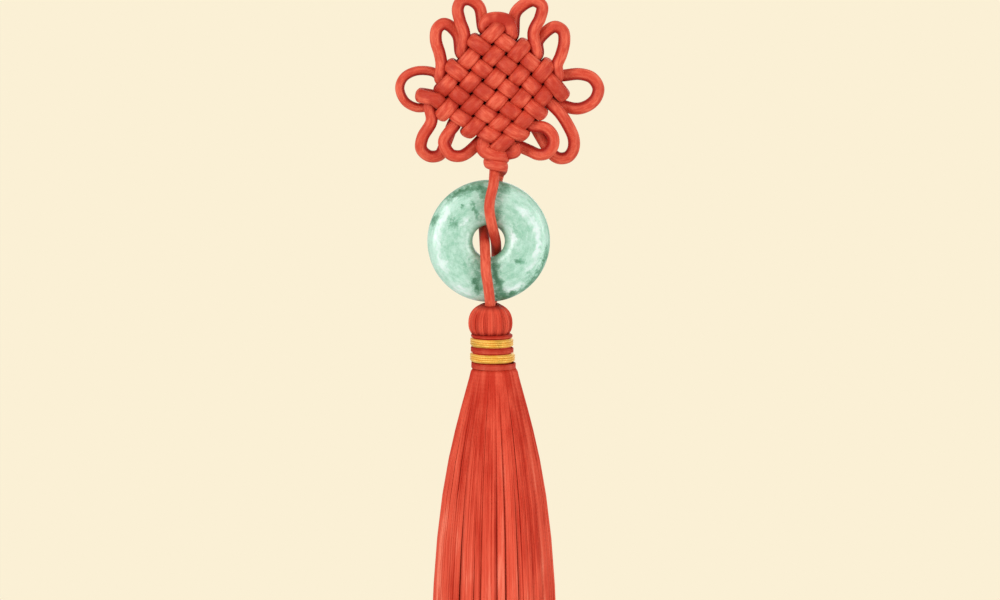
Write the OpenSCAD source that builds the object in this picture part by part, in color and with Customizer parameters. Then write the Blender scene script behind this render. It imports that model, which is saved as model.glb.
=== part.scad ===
// Hanging ornament: a three-tuck endless knot tied in one cord, a jade ring and a silk tassel.
// The front faces -Y. The origin is under the top loop, where the ornament hangs.

/* [Cord] */
// Diameter of the round cord
cord_d = 3; // [2.9:0.05:3.05]
// Thickness of the cord where the weave presses it flat
cord_flat = 1.95; // [1.9:0.05:1.95]
// Height of the weave's waves, from the middle of a layer
weave_wave = 1.38; // [1.36:0.01:1.4]
// Clear gap between cords that cross
cord_gap = 0.16; // [0.14:0.01:0.2]
// Sides of a cord's section
cord_sides = 8; // [8:1:12]

/* [Knot] */
// How far the edges of the woven body bulge, upper right
bulge_upper_right = 0.9; // [0:0.1:1]
// How far the edges of the woven body bulge, lower right
bulge_lower_right = 0.6; // [0:0.1:1]
// How far the edges of the woven body bulge, lower left
bulge_lower_left = 1.3; // [1:0.1:2]
// How far the edges of the woven body bulge, upper left
bulge_upper_left = 0.3; // [0:0.1:1]
// Extra reach of the loose turn at the left corner
slack_left = 2.5; // [1:0.1:2.6]
// Extra reach of the loose turn at the right corner
slack_right = 1.75; // [1:0.05:2]

/* [Jade ring] */
// Outer diameter
ring_d = 35.5; // [35:0.1:36]
// Hole diameter
ring_hole_d = 9.3; // [9.2:0.05:9.5]
// Half thickness at the crown, midway between the hole and the rim
ring_half = 3.4; // [3.2:0.1:3.4]

/* [Tassel] */
// Diameter of the gathered head
head_d = 13.1; // [12.6:0.1:13.2]
// Diameter of the red binding under the head
neck_d = 12.7; // [12.4:0.1:12.8]
// Diameter of the gold thread
gold_d = 0.65; // [0.6:0.01:0.66]
// Length of the hanging threads
skirt_length = 107; // [95:1:115]
// Width of the skirt's lower end
skirt_w = 38; // [34:0.5:40]
// Depth of the skirt's lower end, as a share of its width
skirt_flat = 0.8; // [0.7:0.05:1]

/* [Hidden] */
$fn = 96;
tiny = 0.01;

cord_r = cord_d / 2;
flat_r = cord_flat / 2;
lines = 6;
side_slots = lines - 0.5;
layer_mid = weave_wave + (cord_flat + cord_gap) / 2;
layer_out = layer_mid + weave_wave;
layer_in = layer_mid - weave_wave;
turn_gap = 0.42;
shoulder = 0.25;
joint = 0.03;
pair_depth = cord_r + 0.1;

// Corners of the woven body, seen from the front
corner_top = [0, -1.2];
corner_right = [17.4, -19.1];
corner_bottom = [0.3, -35.6];
corner_left = [-19.7, -20.2];
// Ways in which the loose turns lean out
lean_left = [-0.88, -0.48];
lean_right = [0.51, -0.86];

// The four families of doubled strands, by the edge where they are open
V = 0;
W = 1;
G = 2;
H = 3;
front = 1;
back = -1;
toward_front = [0, -1, 0];

ring_centre = [-2.7, -63.2];
ring_hole_r = ring_hole_d / 2;
crown_r = (ring_d / 2 + ring_hole_r) / 2;
crown_half = ring_d / 2 - crown_r;
rim_r = ring_d / 2 - ring_half;

head_x = -2.2;
neck_x = -1.8;
skirt_x = -1.1;
head_top = -82.0;
neck_top = -90.3;
neck_bottom = -100.5;
part_gap = 0.1;

function mix(a, b, f) = a + (b - a) * f;
function unit(a) = a / norm(a);
function ease(f) = f * f * (3 - 2 * f);
function clamp(f) = max(0, min(1, f));
function place(p, depth) = [p.x, -depth, p.y];

// Woven body: u and v count the strands from the left and the bottom edge, 0 to 6
function body_point(u, v) =
  let (
    a = u - lines / 2,
    b = v - lines / 2,
    scale = side_slots * side_slots + 0.25,
    s = (side_slots * a - 0.5 * b) / scale,
    t = (0.5 * a + side_slots * b) / scale,
    upper = mix(corner_top, corner_right, 0.5 + s),
    lower = mix(corner_left, corner_bottom, 0.5 + s),
    along_s = 1 - 4 * s * s,
    along_t = 1 - 4 * t * t,
    diagonal = [0.7, 0.7],
    anti = [0.7, -0.7]
  )
  mix(lower, upper, 0.5 + t)
    + diagonal * along_s * (bulge_upper_right * (0.5 + t) - bulge_lower_left * (0.5 - t))
    + anti * along_t * (bulge_lower_right * (0.5 + s) - bulge_upper_left * (0.5 - s));

// Place of strand n of a family, counted in strands from its open edge
function strand_uv(family, n, along) =
  family == V ? [2 * n + 1.5, lines - along] :
  family == W ? [2 * n + 0.5, along] :
  family == G ? [along, lines - 2 * n - 0.5] :
  [lines - along, lines - 2 * n - 1.5];

function strand_point(family, n, along) =
  let (uv = strand_uv(family, n, along)) body_point(uv.x, uv.y);

function strand_heading(family, n, along) =
  unit(strand_point(family, n, along + tiny) - strand_point(family, n, along - tiny));

// Direction of the strands that cross here, scaled so that the strand keeps its width
function strand_side(family, n, along) =
  let (
    uv = strand_uv(family, n, along),
    step = family == V || family == W ? [tiny, 0] : [0, tiny],
    cross_to = body_point(uv.x + step.x, uv.y + step.y),
    cross_from = body_point(uv.x - step.x, uv.y - step.y),
    cross_way = unit(cross_to - cross_from),
    heading = strand_heading(family, n, along),
    square_on = cross_way.x * heading.y - cross_way.y * heading.x
  )
  place(cross_way / square_on, 0);

// Depth of a strand in its layer: under the strand next to its open edge, then over, then under
function wave_depth(along) = layer_mid - weave_wave * cos(180 * (along - 0.5));

function tangent(path, i) =
  unit(path[min(i + 1, len(path) - 1)] - path[max(i - 1, 0)]);

function rest(list) = [for (i = [1 : len(list) - 1]) list[i]];

// Rings of a cord: centre, half width and half thickness as vectors
function cord_rings(path, outs, thick, wide) =
  [for (i = [0 : len(path) - 1])
    let (way = tangent(path, i), side = unit(cross(way, outs[i])))
    [path[i], side * cord_r * (is_undef(wide) ? 1 : wide[i]), cross(side, way) * thick[i]]];

module cord(rings) {
  n = len(rings);
  k = cord_sides;
  points = [for (r = rings, j = [0 : k - 1])
    r[0] + r[1] * cos(360 * j / k) + r[2] * sin(360 * j / k)];
  walls = [for (i = [0 : n - 2], j = [0 : k - 1])
    let (a = i * k + j, b = i * k + (j + 1) % k)
    each [[a, b, a + k], [b, b + k, a + k]]];
  first_end = [for (j = [k - 1 : -1 : 0]) j];
  last_end = [for (j = [0 : k - 1]) (n - 1) * k + j];
  polyhedron(points, concat(walls, [first_end, last_end]));
}

// One doubled strand of the weave: front leg, turn round the far edge, back leg
// The turn of a loose one leans out by a few millimetres, and its side turns with it
function bight_rings(family, n, lean) =
  let (
    last = lines - 0.5,
    loose = norm(lean) > 0,
    stations = concat(
      [0.5, 0.5 + shoulder],
      [for (k = [1 : lines - 2], q = [-shoulder, 0, shoulder]) k + 0.5 + q],
      [last - shoulder, last]
    ),
    heading = strand_heading(family, n, last),
    end_side = strand_side(family, n, last),
    tip = heading * (cord_r * norm(end_side) + turn_gap + flat_r) + lean,
    tip_way = unit(tip),
    square_tip = place([tip_way.y, -tip_way.x], 0),
    tip_side = loose ? square_tip * sign(square_tip * end_side) : end_side,
    round_off = loose ? 1 : 0.85,
    turn_angles = [30 : 30 : 150],
    turn = [for (f = turn_angles)
      place(
        strand_point(family, n, last) + tip * pow(sin(f), round_off),
        layer_out * sign(cos(f)) * pow(abs(cos(f)), round_off)
      )],
    legs = [for (a = stations) place(strand_point(family, n, a), wave_depth(a))],
    path = concat(legs, turn, [for (i = [len(legs) - 1 : -1 : 0]) [legs[i].x, -legs[i].y, legs[i].z]]),
    sides = [for (a = stations) strand_side(family, n, a)],
    all_sides = concat(
      sides,
      [for (f = turn_angles) mix(end_side, tip_side, sin(f))],
      [for (i = [len(sides) - 1 : -1 : 0]) sides[i]]
    )
  )
  [for (i = [0 : len(path) - 1])
    let (
      side = all_sides[i],
      heading_here = i < len(legs) ? strand_heading(family, n, stations[i]) :
        i < len(path) - len(legs) ? tip_way :
        strand_heading(family, n, stations[len(path) - 1 - i]),
      square_side = [heading_here.y, 0, -heading_here.x],
      turned = side * square_side < 0 ? -side : side,
      way = i == 0 ? place(heading_here, 0) :
        i == len(path) - 1 ? -place(heading_here, 0) :
        tangent(path, i)
    )
    [path[i], turned * cord_r, unit(cross(square_side, way)) * flat_r]];

module pan_chang_weave() {
  color("#e85a43")
    for (family = [V, W, G, H], n = [0 : 2]) {
      lean = family == G && n == 0 ? lean_right * slack_right :
        family == H && n == 2 ? lean_left * slack_left :
        [0, 0];
      cord(bight_rings(family, n, lean));
    }
}

// Smooth curve through the points, with equal steps between each two
function curve(p, steps) =
  concat(
    [for (i = [0 : len(p) - 2], k = [0 : steps - 1])
      let (
        f = k / steps,
        a = p[max(i - 1, 0)],
        b = p[i],
        c = p[i + 1],
        d = p[min(i + 2, len(p) - 1)]
      )
      b + ((c - a) * f + (2 * a - 5 * b + 4 * c - d) * f * f + (-a + 3 * b - 3 * c + d) * f * f * f) / 2],
    [p[len(p) - 1]]
  );

// A loop outside the body: from one leg of a strand to a leg of another, through hand-set points,
// changing its depth between two shares of its length
LOOP_FROM = 0;
LOOP_TO = 1;
LOOP_SWITCH = 2;
LOOP_POINTS = 3;
STRAND_FAMILY = 0;
STRAND_NUMBER = 1;
STRAND_LEG = 2;

// Where a loop leaves the weave: place along the strand, depth and half thickness
root_along = [0.5 - joint, 0.2, -0.1];
root_depth = [layer_in, 1.3, pair_depth];
root_thick = [flat_r, 1.18, cord_r];

function root_path(end) =
  [for (k = [0 : len(root_along) - 1])
    place(
      strand_point(end[STRAND_FAMILY], end[STRAND_NUMBER], root_along[k]),
      root_depth[k] * end[STRAND_LEG]
    )];

function reversed(list) = [for (i = [len(list) - 1 : -1 : 0]) list[i]];

function loop_rings(loop, steps) =
  let (
    from = loop[LOOP_FROM],
    to = loop[LOOP_TO],
    outer = loop[LOOP_POINTS],
    switch = loop[LOOP_SWITCH],
    from_root = root_path(from),
    to_root = reversed(root_path(to)),
    middle = [for (i = [0 : len(outer) - 1])
      let (share = ((i + 1) / (len(outer) + 1) - switch[0]) / (switch[1] - switch[0]))
      place(outer[i], pair_depth * mix(from[STRAND_LEG], to[STRAND_LEG], ease(clamp(share))))],
    guide = concat([from_root[1], from_root[2]], middle, [to_root[0], to_root[1]]),
    smooth_path = curve(guide, steps),
    trimmed = [for (i = [steps : len(smooth_path) - 1 - steps]) smooth_path[i]],
    path = concat([from_root[0], from_root[1]], trimmed, [to_root[1], to_root[2]]),
    n = len(path),
    thick = concat(
      [root_thick[0], root_thick[1]],
      [for (i = [1 : n - 4]) cord_r],
      [root_thick[1], root_thick[0]]
    ),
    outs = [for (i = path) toward_front],
    rings = cord_rings(path, outs, thick)
  )
  [for (i = [0 : n - 1])
    i == 0 || i == n - 1 ? end_ring(rings[i], i == 0 ? from : to, i == 0 ? -1 : 1) : rings[i]];

// The cut end of a loop has the section that the weave has there
function end_ring(ring, end, way) =
  let (
    side = strand_side(end[STRAND_FAMILY], end[STRAND_NUMBER], 0.5),
    heading = strand_heading(end[STRAND_FAMILY], end[STRAND_NUMBER], 0.5) * way,
    turned = side * ring[1] < 0 ? -side : side,
    square_side = unit(cross(place(heading, 0), toward_front))
  )
  [ring[0], turned * cord_r, cross(square_side, place(heading, 0)) * flat_r];

loop_top = [[V, 0, front], [G, 0, front], [0, 1],
  [[3.7, -0.5], [2.4, 1.2], [-0.1, 1.72], [-2.6, 1.35], [-4.0, 0.0]]];

// Ear loops down the left side: from, to, and the points that each passes
left_ears = [
  [[G, 0, back], [G, 1, front], [0, 1],
    [[-5.0, 4.1], [-7.7, 6.6], [-10.5, 6.4], [-11.8, 3.9], [-11.1, 0.3], [-9.9, -3.4]]],
  [[G, 1, back], [G, 2, front], [0, 1],
    [[-11.2, -4.0], [-13.4, -1.1], [-15.8, -0.2], [-17.8, -1.9], [-18.1, -5.2], [-17.0, -9.0],
      [-16.5, -12.2]]],
  [[G, 2, back], [W, 0, back], [0, 1],
    [[-19.1, -14.4], [-23.4, -14.2], [-26.9, -15.9], [-28.2, -19.1], [-26.7, -22.7], [-23.4, -24.5]]],
  [[W, 0, front], [W, 1, back], [0.1, 0.65],
    [[-19.4, -28.3], [-21.9, -32.8], [-22.4, -36.5], [-20.0, -38.9], [-16.8, -38.6], [-15.2, -35.8]]],
  [[W, 1, front], [W, 2, back], [0.55, 1],
    [[-15.8, -34.0], [-14.2, -37.8], [-11.3, -38.7], [-8.4, -37.6]]]
];

// Ear loops down the right side
right_ears = [
  [[V, 0, back], [V, 1, front], [0, 1],
    [[4.6, 2.2], [7.0, 5.1], [10.2, 6.5], [12.9, 4.8], [12.3, 1.2], [10.4, -3.0]]],
  [[V, 1, back], [V, 2, front], [0, 1],
    [[11.2, -5.6], [13.6, -2.6], [16.4, -1.0], [18.9, -2.4], [19.3, -5.6], [18.4, -9.3], [17.2, -12.3]]],
  [[V, 2, back], [H, 0, back], [0, 1],
    [[19.1, -15.1], [23.4, -14.7], [27.2, -15.8], [29.2, -18.9], [28.3, -22.3], [25.4, -24.6],
      [21.5, -25.1]]],
  [[H, 0, front], [H, 1, back], [0.1, 0.65],
    [[18.0, -25.8], [20.2, -29.1], [22.0, -33.1], [22.0, -36.7], [20.2, -39.2], [17.1, -39.4],
      [14.4, -36.8]]],
  [[H, 1, front], [H, 2, back], [0.6, 0.9],
    [[13.6, -30.0], [15.9, -32.3], [16.1, -35.4], [14.3, -37.7], [11.7, -38.3], [8.9, -37.3]]]
];

module loop(row) {
  color("#ec6048") cord(loop_rings(row, 3));
}

// Wrapped knot below the body: the left end crosses the front to the right, goes once round the
// other end, and leaves down the back; the right end turns in beside it
wrap_centre_x = -0.8;
wrap_top = -38.15;
wrap_drop = 2.85;
wrap_half = 1.25;
wrap_wide = [3.4, 2.7];
wrap_deep = 2.9;
wrap_turns = 1.25;
wrap_steps = 20;

// The runs before and after the wraps: x, depth, z, half thickness, share of the cord's width
RUN_X = 0;
RUN_DEPTH = 1;
RUN_Z = 2;
RUN_THICK = 3;
RUN_WIDE = 4;
wrap_lead = [[-5.0, 1.9, -35.5, 1.5, 1], [-4.6, 2.3, -36.9, 1.3, 0.95], [-3.0, 2.7, -37.8, 1.1, 0.9]];
wrap_tail = [[1.5, -1.5, -42.9, 1.1, 0.88], [0.7, -2.6, -43.7, 1.25, 0.93]];
tuck = [[4.5, 1.75, -35.6, 1.5, 0.95], [5.5, 1.75, -36.5, 1.5, 0.93], [5.1, 1.65, -37.5, 1.5, 0.93],
  [3.85, 1.3, -38.1, 1.4, 0.93]];
tail_outs = [[0.8, 0.6, 0], [0.4, 0.9, 0]];

function run_points(run) = [for (row = run) [row[RUN_X], -row[RUN_DEPTH], row[RUN_Z]]];

function column(run, k) = [for (row = run) row[k]];

function same(value, list) = [for (item = list) value];

function wrap_point(turn) =
  let (a = 90 - 360 * turn, wide = mix(wrap_wide[0], wrap_wide[1], turn / wrap_turns))
  [wrap_centre_x + wide * cos(a), -wrap_deep * sin(a), wrap_top - wrap_drop * turn];

function wrap_out(turn) =
  let (a = 90 - 360 * turn) [cos(a), -sin(a), 0];

// The left end in one run, from the body round the wraps and down to the tassel
function left_end_rings() =
  let (
    turns = [for (k = [0 : wrap_steps]) wrap_turns * k / wrap_steps],
    root = root_path([W, 2, front]),
    hanging = strand_path(back_route, back, back_top_depth),
    wraps = [for (t = turns) wrap_point(t)],
    path = concat(root, run_points(wrap_lead), wraps, run_points(wrap_tail), hanging),
    outs = concat(
      same(toward_front, concat(root, wrap_lead)),
      [for (t = turns) wrap_out(t)],
      tail_outs,
      same(-toward_front, hanging)
    ),
    thick = concat(
      root_thick,
      column(wrap_lead, RUN_THICK),
      same(flat_r, turns),
      column(wrap_tail, RUN_THICK),
      same(cord_r, hanging)
    ),
    wide = concat(
      same(1, root),
      column(wrap_lead, RUN_WIDE),
      same(wrap_half / cord_r, turns),
      column(wrap_tail, RUN_WIDE),
      same(1, hanging)
    ),
    rings = cord_rings(path, outs, thick, wide)
  )
  concat([end_ring(rings[0], [W, 2, front], -1)], rest(rings));

wrap_rings = len(root_along) + len(wrap_lead) + wrap_steps + 1 + len(wrap_tail);

module bottom_knot() {
  left_rings = left_end_rings();
  right_root = root_path([H, 2, front]);
  right_path = concat(right_root, run_points(tuck));
  right_thick = concat(root_thick, column(tuck, RUN_THICK));
  right_wide = concat(same(1, root_thick), column(tuck, RUN_WIDE));
  right_rings = cord_rings(right_path, same(toward_front, right_path), right_thick, right_wide);
  color("#d9482f") {
    cord([for (i = [0 : wrap_rings - 1]) left_rings[i]]);
    cord(concat([end_ring(right_rings[0], [H, 2, front], -1)], rest(right_rings)));
  }
}

// The two ends pass through the ring and cross in its hole
front_route = [
  [-0.9, -40.6], [-1.0, -42.7], [-1.3, -46.4], [-2.1, -49.7], [-2.5, -53.0], [-2.1, -56.4],
  [-1.3, -59.7], [-0.5, -63.0], [-0.3, -65.6], [-0.4, -69.0], [-0.9, -74.0], [-1.5, -79.0], [-1.8, -81.8],
  [-1.9, -83.0], [-1.9, -84.2]
];
back_route = [
  [0.2, -44.6], [-0.5, -47.0], [-1.8, -50.4], [-3.1, -54.0], [-4.1, -58.0], [-4.0, -61.4],
  [-3.8, -64.7], [-3.6, -68.0], [-3.5, -71.3], [-3.0, -74.7], [-2.5, -78.5], [-2.2, -81.8],
  [-2.1, -83.0], [-2.1, -84.2]
];
strand_lift = ring_half + cord_r + 0.3;
strand_dip = 9;
strand_leave = 39;
strand_close = 1.6;
front_top_depth = 0.1;
back_top_depth = 2.9;

// Depth of an end at a height: over the rim, in through the hole, out on the other side
function strand_depth(z, top_depth) =
  let (
    h = abs(z - ring_centre.y),
    past = h - rim_r,
    way_in = strand_lift * sin(90 * min(1, h / strand_dip)),
    over_rim = past < strand_lift * cos(strand_leave) ?
      sqrt(strand_lift * strand_lift - past * past) :
      (strand_lift - past * cos(strand_leave)) / sin(strand_leave),
    above = z > ring_centre.y
  )
  (above ? 1 : -1) * (h < rim_r ? way_in : max(over_rim, above ? top_depth : strand_close));

function strand_path(route, leg, top_depth) =
  [for (p = curve(route, 2)) place(p, leg * strand_depth(p.y, top_depth))];

module front_cord() {
  path = strand_path(front_route, front, front_top_depth);
  color("#ec6048") cord(cord_rings(path, same(toward_front, path), same(cord_r, path)));
}

// Starts a hair below the wraps, on the same run
run_break = 0.12;

module back_cord() {
  all_rings = left_end_rings();
  last = all_rings[wrap_rings - 1];
  way = unit(all_rings[wrap_rings][0] - all_rings[wrap_rings - 2][0]);
  color("#ec6048")
    cord(concat(
      [[last[0] + way * run_break, last[1], last[2]]],
      [for (i = [wrap_rings : len(all_rings) - 1]) all_rings[i]]
    ));
}

// Ring with crowned faces, its section a rounded oval
module jade_ring() {
  fullness = 2 / 2.4;
  section = [for (a = [0 : 7.5 : 352.5])
    let (c = cos(a), s = sin(a))
    [
      crown_r + crown_half * sign(c) * pow(abs(c), fullness),
      ring_half * sign(s) * pow(abs(s), fullness)
    ]];
  color("#b9dccb")
    translate([ring_centre.x, 0, ring_centre.y])
      rotate([90, 0, 0])
        rotate_extrude() polygon(section);
}

// Pleated body round an upright axis: height, half width, half depth and pleat depth of each row
ROW_Z = 0;
ROW_WIDE = 1;
ROW_DEEP = 2;
ROW_PLEAT = 3;

module pleated(rows, pleats, centre_x) {
  around = 3 * pleats;
  n = len(rows);
  points = [for (row = rows, j = [0 : around - 1])
    let (
      a = 360 * j / around,
      valley = j % 3 == 0 ? 1 : 0,
      fold = row[ROW_PLEAT] * valley
    )
    [centre_x + (row[ROW_WIDE] - fold) * cos(a), (row[ROW_DEEP] - fold) * sin(a), row[ROW_Z]]];
  walls = [for (i = [0 : n - 2], j = [0 : around - 1])
    let (a = i * around + j, b = i * around + (j + 1) % around)
    each [[a, b, a + around], [b, b + around, a + around]]];
  first_end = [for (j = [around - 1 : -1 : 0]) j];
  last_end = [for (j = [0 : around - 1]) (n - 1) * around + j];
  polyhedron(points, concat(walls, [first_end, last_end]));
}

// Gathered head, from the mouth that holds the cords, over the rim and down to the binding
head_r = head_d / 2;
head_rows = [
  [head_top - 2.8, 2.2, 3.5, 0], [head_top - 1.6, 2.3, 3.9, 0], [head_top - 0.7, 2.5, 4.8, 0],
  [head_top, 2.9, 5.7, 0.05], [head_top - 0.15, 3.5, 5.85, 0.15],
  [head_top - 0.8, 0.7 * head_r, 0.93 * head_r, 0.25], [head_top - 1.7, 0.84 * head_r, 0.96 * head_r, 0.3],
  [head_top - 2.8, 0.94 * head_r, 0.98 * head_r, 0.3], [head_top - 4.3, head_r, head_r, 0.3],
  [head_top - 5.8, head_r, head_r, 0.3], [head_top - 7.1, 0.95 * head_r, 0.95 * head_r, 0.25],
  [neck_top + part_gap, 0.87 * head_r, 0.87 * head_r, 0.2]
];
head_pleats = 14;

module tassel_head() {
  color("#cf3f2a") pleated(head_rows, head_pleats, head_x);
}

gold_turns = 4;
gold_pitch = 0.96 * gold_d;
neck_r = neck_d / 2;
neck_swell = 0.45;
neck_shrink = 0.3;
band_inner = neck_r - 0.75;
band_middle = neck_r - 0.38;
lower_band_swell = 0.27;
band_h = gold_pitch * (gold_turns - 1) + gold_d;
groove_h = band_h + 2 * part_gap;
upper_band_z = -91.3;
lower_band_z = -95.75;

module tassel_neck() {
  core = band_inner - part_gap;
  foot = neck_r + neck_swell;
  collar = neck_r - neck_shrink;
  color("#d8452f")
    translate([neck_x, 0, 0])
      rotate_extrude()
        polygon([
          [0, neck_bottom], [foot, neck_bottom], [foot, lower_band_z - groove_h],
          [core, lower_band_z - groove_h], [core, lower_band_z], [neck_r, lower_band_z],
          [neck_r, upper_band_z - groove_h], [core, upper_band_z - groove_h], [core, upper_band_z],
          [collar, upper_band_z], [collar, neck_top], [0, neck_top]
        ]);
}

// Wound gold thread: a sleeve with one rounded ring for each turn
module gold_band(top, swell) {
  turn_r = band_middle + swell;
  color("#efb23c")
    translate([neck_x, 0, top - part_gap - band_h])
      rotate_extrude() {
        translate([band_inner, gold_d / 4]) square([turn_r - band_inner, band_h - gold_d / 2]);
        for (k = [0 : gold_turns - 1])
          translate([turn_r, gold_d / 2 + k * gold_pitch]) circle(gold_d / 2);
      }
}

// Skirt of hanging threads, which opens fast under the binding and then hangs nearly straight
skirt_top = neck_bottom - part_gap;
skirt_neck_r = 6.75;
skirt_pleats = 22;
pleat_depth = [0.15, 1.3];
open_length = 33.5;
open_bend = 1.2;
open_end = 0.97;

module tassel_skirt() {
  spread = (skirt_w / 2 - skirt_neck_r) / open_end;
  heights = [0, 0.02, 0.05, 0.09, 0.14, 0.2, 0.28, 0.38, 0.5, 0.64, 0.8, 0.93, 1];
  rows = [for (share = heights)
    let (
      drop = share * skirt_length,
      open = 1 - exp(-pow(drop / open_length, open_bend)),
      wide = skirt_neck_r + spread * open
    )
    [skirt_top - drop, wide, wide * mix(1, skirt_flat, open), mix(pleat_depth[0], pleat_depth[1], share)]];
  color("#e2523a") pleated(rows, skirt_pleats, skirt_x);
}

pan_chang_weave();
loop(loop_top);  // top_loop
loop(left_ears[0]);  // ear_left_1
loop(left_ears[1]);  // ear_left_2
loop(left_ears[2]);  // ear_left_3
loop(left_ears[3]);  // ear_left_4
loop(left_ears[4]);  // ear_left_5
loop(right_ears[0]);  // ear_right_1
loop(right_ears[1]);  // ear_right_2
loop(right_ears[2]);  // ear_right_3
loop(right_ears[3]);  // ear_right_4
loop(right_ears[4]);  // ear_right_5
bottom_knot();
jade_ring();
front_cord();
back_cord();
tassel_head();
tassel_neck();
gold_band(upper_band_z, 0);  // gold_band_upper
gold_band(lower_band_z, lower_band_swell);  // gold_band_lower
tassel_skirt();
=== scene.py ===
import math
import random

import bmesh
import bpy
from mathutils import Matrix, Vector


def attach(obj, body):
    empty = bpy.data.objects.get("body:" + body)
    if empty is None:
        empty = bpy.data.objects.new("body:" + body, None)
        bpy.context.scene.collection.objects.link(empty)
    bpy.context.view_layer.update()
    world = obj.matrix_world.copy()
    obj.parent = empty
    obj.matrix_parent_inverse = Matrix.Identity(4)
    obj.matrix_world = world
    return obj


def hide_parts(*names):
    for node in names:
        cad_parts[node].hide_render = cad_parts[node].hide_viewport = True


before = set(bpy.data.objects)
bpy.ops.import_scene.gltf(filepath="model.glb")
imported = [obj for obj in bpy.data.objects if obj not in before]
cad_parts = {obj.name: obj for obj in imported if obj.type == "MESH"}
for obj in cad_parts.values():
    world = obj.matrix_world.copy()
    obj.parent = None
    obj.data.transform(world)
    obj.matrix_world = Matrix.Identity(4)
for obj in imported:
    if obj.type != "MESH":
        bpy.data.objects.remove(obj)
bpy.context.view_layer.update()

mm = 0.001
scene = bpy.context.scene
print("frame loaded:", len(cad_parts), "nodes")


# Camera: a little above the ornament's middle, framed as the photograph is
photo = {"width": 1000, "height": 600, "pixel": 0.29, "hangX": 498, "hangY": 23}
lens = {"focal": 150, "sensor": 36, "raised": 7, "lift": -0.1, "farthest": 50}


def addCamera():
    wide = photo["width"] * photo["pixel"]
    middleX = (photo["width"] / 2 - photo["hangX"]) * photo["pixel"]
    middleZ = -(photo["height"] / 2 - photo["hangY"]) * photo["pixel"] + lens["lift"]
    data = bpy.data.cameras.new("camera")
    data.lens = lens["focal"]
    data.sensor_width = lens["sensor"]
    data.clip_end = lens["farthest"]
    camera = bpy.data.objects.new("camera", data)
    distance = wide * lens["focal"] / lens["sensor"]
    raised = math.radians(lens["raised"])
    back, up = distance * math.cos(raised), distance * math.sin(raised)
    camera.location = Vector((middleX, -back, middleZ + up)) * mm
    camera.rotation_euler = (math.radians(90) - raised, 0, 0)
    scene.collection.objects.link(camera)
    scene.camera = camera


# Shader maths: an expression on wires adds Math nodes
class Wire:
    def __init__(self, paint, socket):
        self.paint = paint
        self.socket = socket

    def maths(self, operation, *others):
        return self.paint.node("ShaderNodeMath", {"operation": operation}, [self, *others])

    def __add__(self, other):
        return self.maths("ADD", other)

    __radd__ = __add__

    def __sub__(self, other):
        return self.maths("SUBTRACT", other)

    def __rsub__(self, other):
        return self.paint.node("ShaderNodeMath", {"operation": "SUBTRACT"}, [other, self])

    def __mul__(self, other):
        return self.maths("MULTIPLY", other)

    __rmul__ = __mul__

    def __pow__(self, other):
        return self.maths("POWER", other)

    def between(self, low, high):
        # 0 below low, 1 above high, smooth in the middle
        return self.paint.node(
            "ShaderNodeMapRange",
            {"interpolation_type": "SMOOTHSTEP"},
            {"Value": self, "From Min": low, "From Max": high},
        )


class Paint:
    def __init__(self, name, **fixed):
        self.material = bpy.data.materials.new(name)
        self.material.use_nodes = True
        self.tree = self.material.node_tree
        self.shader = next(n for n in self.tree.nodes if n.type == "BSDF_PRINCIPLED")
        for socket, value in fixed.items():
            self.shader.inputs[socket.replace("_", " ")].default_value = value

    def node(self, kind, settings=None, values=None, output=0):
        made = self.tree.nodes.new(kind)
        for key, value in (settings or {}).items():
            setattr(made, key, value)
        pairs = values.items() if isinstance(values, dict) else enumerate(values or [])
        for key, value in pairs:
            if isinstance(value, Wire):
                self.tree.links.new(value.socket, made.inputs[key])
            else:
                made.inputs[key].default_value = value
        return Wire(self, made.outputs[output])

    def feed(self, socket, wire):
        self.tree.links.new(wire.socket, self.shader.inputs[socket])

    def blend(self, share, low, high):
        # Each end is a wire or a screen colour; the node's factor is input 0, its colours 6 and 7
        low, high = (end if isinstance(end, Wire) else colour(*end) for end in (low, high))
        return self.node("ShaderNodeMix", {"data_type": "RGBA"}, {0: share, 6: low, 7: high}, 2)

    def attribute(self, name, output="Fac"):
        return self.node("ShaderNodeAttribute", {"attribute_name": name}, None, output)

    def objectPlace(self):
        return self.node("ShaderNodeTexCoord", None, None, "Object")

    def parts(self, vector):
        split = self.node("ShaderNodeSeparateXYZ", None, [vector])
        return [Wire(self, out) for out in split.socket.node.outputs]

    def joined(self, x, y, z):
        return self.node("ShaderNodeCombineXYZ", None, [x, y, z])

    def noise(self, vector, scale, detail=2.0, rough=0.5):
        values = {"Vector": vector, "Scale": scale, "Detail": detail, "Roughness": rough}
        return self.node("ShaderNodeTexNoise", None, values)

    def bump(self, height, strength, distance):
        values = {"Height": height, "Strength": strength, "Distance": distance}
        return self.node("ShaderNodeBump", None, values)


def colour(red, green, blue):
    # Screen colour, 0 to 255, as the linear colour that a node takes
    def linear(value):
        share = value / 255
        return share / 12.92 if share <= 0.04045 else ((share + 0.055) / 1.055) ** 2.4

    return (linear(red), linear(green), linear(blue), 1.0)


# Small vector tools, in millimetres
def mix(low, high, share):
    return low + (high - low) * share


def ease(share):
    share = max(0.0, min(1.0, share))
    return share * share * (3 - 2 * share)


def place(point, depth):
    # A point of the front view, so far in front of the ornament's middle
    return Vector((point[0], -depth, point[1]))


def curveThrough(points, steps):
    # Smooth run through points, vectors or plain numbers
    run = []
    last = len(points) - 1
    for i in range(last):
        a, b = points[max(i - 1, 0)], points[i]
        c, d = points[i + 1], points[min(i + 2, last)]
        for k in range(steps):
            f = k / steps
            squared = (a * 2 - b * 5 + c * 4 - d) * f**2
            cubed = (b * 3 - a - c * 3 + d) * f**3
            run.append(b + ((c - a) * f + squared + cubed) * 0.5)
    return run + [points[last]]


def headings(path):
    last = len(path) - 1
    return [(path[min(i + 1, last)] - path[max(i - 1, 0)]).normalized() for i in range(last + 1)]


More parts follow.
